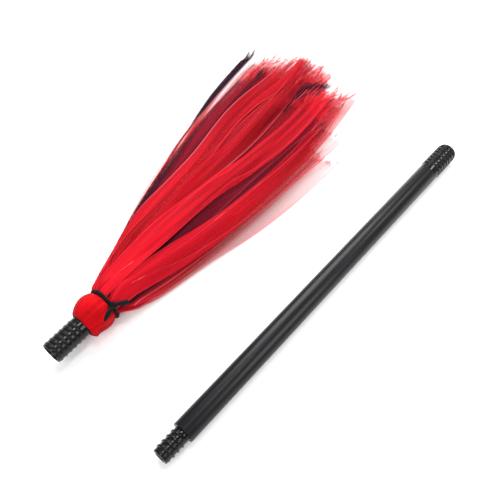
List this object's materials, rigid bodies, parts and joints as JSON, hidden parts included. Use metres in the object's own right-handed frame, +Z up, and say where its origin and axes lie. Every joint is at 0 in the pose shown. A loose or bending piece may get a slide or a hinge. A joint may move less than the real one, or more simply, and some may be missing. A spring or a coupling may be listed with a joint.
{
  "type": "tasselled devil stick with screw-on head",
  "caption": "Black tube handle with a threaded end and ridged top socket, beside its screw-on head: ridged socket, fabric bulb tied with cord, and a long tassel of red and black tulle strips.",
  "frame": {"origin": "centre of the tube's lower end, on the rod's axis, at the shoulder where the screw-on head seats", "axes": "+Y along the rod towards its top socket, +Z up from the surface it lies on, +X to the side away from the head"},
  "size_m": [0.2842, 0.4549, 0.0363],
  "materials": {
    "tube_plastic": "satin black extruded plastic",
    "fitting_plastic": "moulded black plastic with a soft shine",
    "felt": "pressed felt",
    "wadding": "loose wadding",
    "cord": "matte knitted cord",
    "red_cloth": "several layers of gathered tulle",
    "red_tulle": "sheer tulle",
    "black_tulle": "sheer tulle"
  },
  "bodies": {
    "rod": {"handle_tube": "tube_plastic", "male_spigot": "fitting_plastic", "rod_socket": "fitting_plastic"},
    "thread_guide": {"stop_plug": "felt"},
    "thread_carriage": {"bulb_wadding": "wadding"},
    "head": {"head_socket": "fitting_plastic", "inner_binding": "cord", "bulb_cover": "red_cloth", "neck_cord": "cord", "cord_knot": "cord", "cord_tail_front": "cord", "cord_tail_back": "cord"},
    "tassel": {"red_strip_1": "red_tulle", "red_strip_2": "red_tulle", "red_strip_3": "red_tulle", "red_strip_4": "red_tulle", "red_strip_5": "red_tulle", "red_strip_6": "red_tulle", "red_strip_7": "red_tulle", "red_strip_8": "red_tulle", "red_strip_9": "red_tulle", "red_strip_10": "red_tulle", "red_strip_11": "red_tulle", "red_strip_12": "red_tulle", "red_strip_13": "red_tulle", "red_strip_14": "red_tulle", "red_strip_15": "red_tulle", "red_strip_16": "red_tulle", "red_strip_17": "red_tulle", "black_strip_1": "black_tulle", "black_strip_2": "black_tulle", "black_strip_3": "black_tulle", "black_strip_4": "black_tulle", "black_strip_5": "black_tulle", "black_strip_6": "black_tulle"}
  },
  "joints": [
    {"name": "head_swing", "type": "hinge", "parent": "rod", "child": "thread_guide", "pos_m": [-0.06335, -0.02438, 0.00385], "axis": [0.0603, 0.0012, 0.9982], "range_deg": [0, 177.7]},
    {"name": "thread_travel", "type": "slide", "parent": "thread_guide", "child": "thread_carriage", "axis": [0.0401, -0.9992, 0], "range_m": [0, 0.025]},
    {"name": "thread_turn", "type": "hinge", "parent": "thread_carriage", "child": "head", "pos_m": [-0.1267, -0.026, 0.00765], "axis": [0.0401, -0.9992, 0], "range_deg": [0, 1800]},
    {"name": "tassel_swing", "type": "hinge", "parent": "head", "child": "tassel", "pos_m": [-0.12924, 0.03725, 0.00765], "axis": [0, 0, 1], "range_deg": [-10, 20]}
  ],
  "couplings": [
    {"joint": "thread_travel", "follows": "thread_turn", "m_per_rad": 0.00079577}
  ]
}
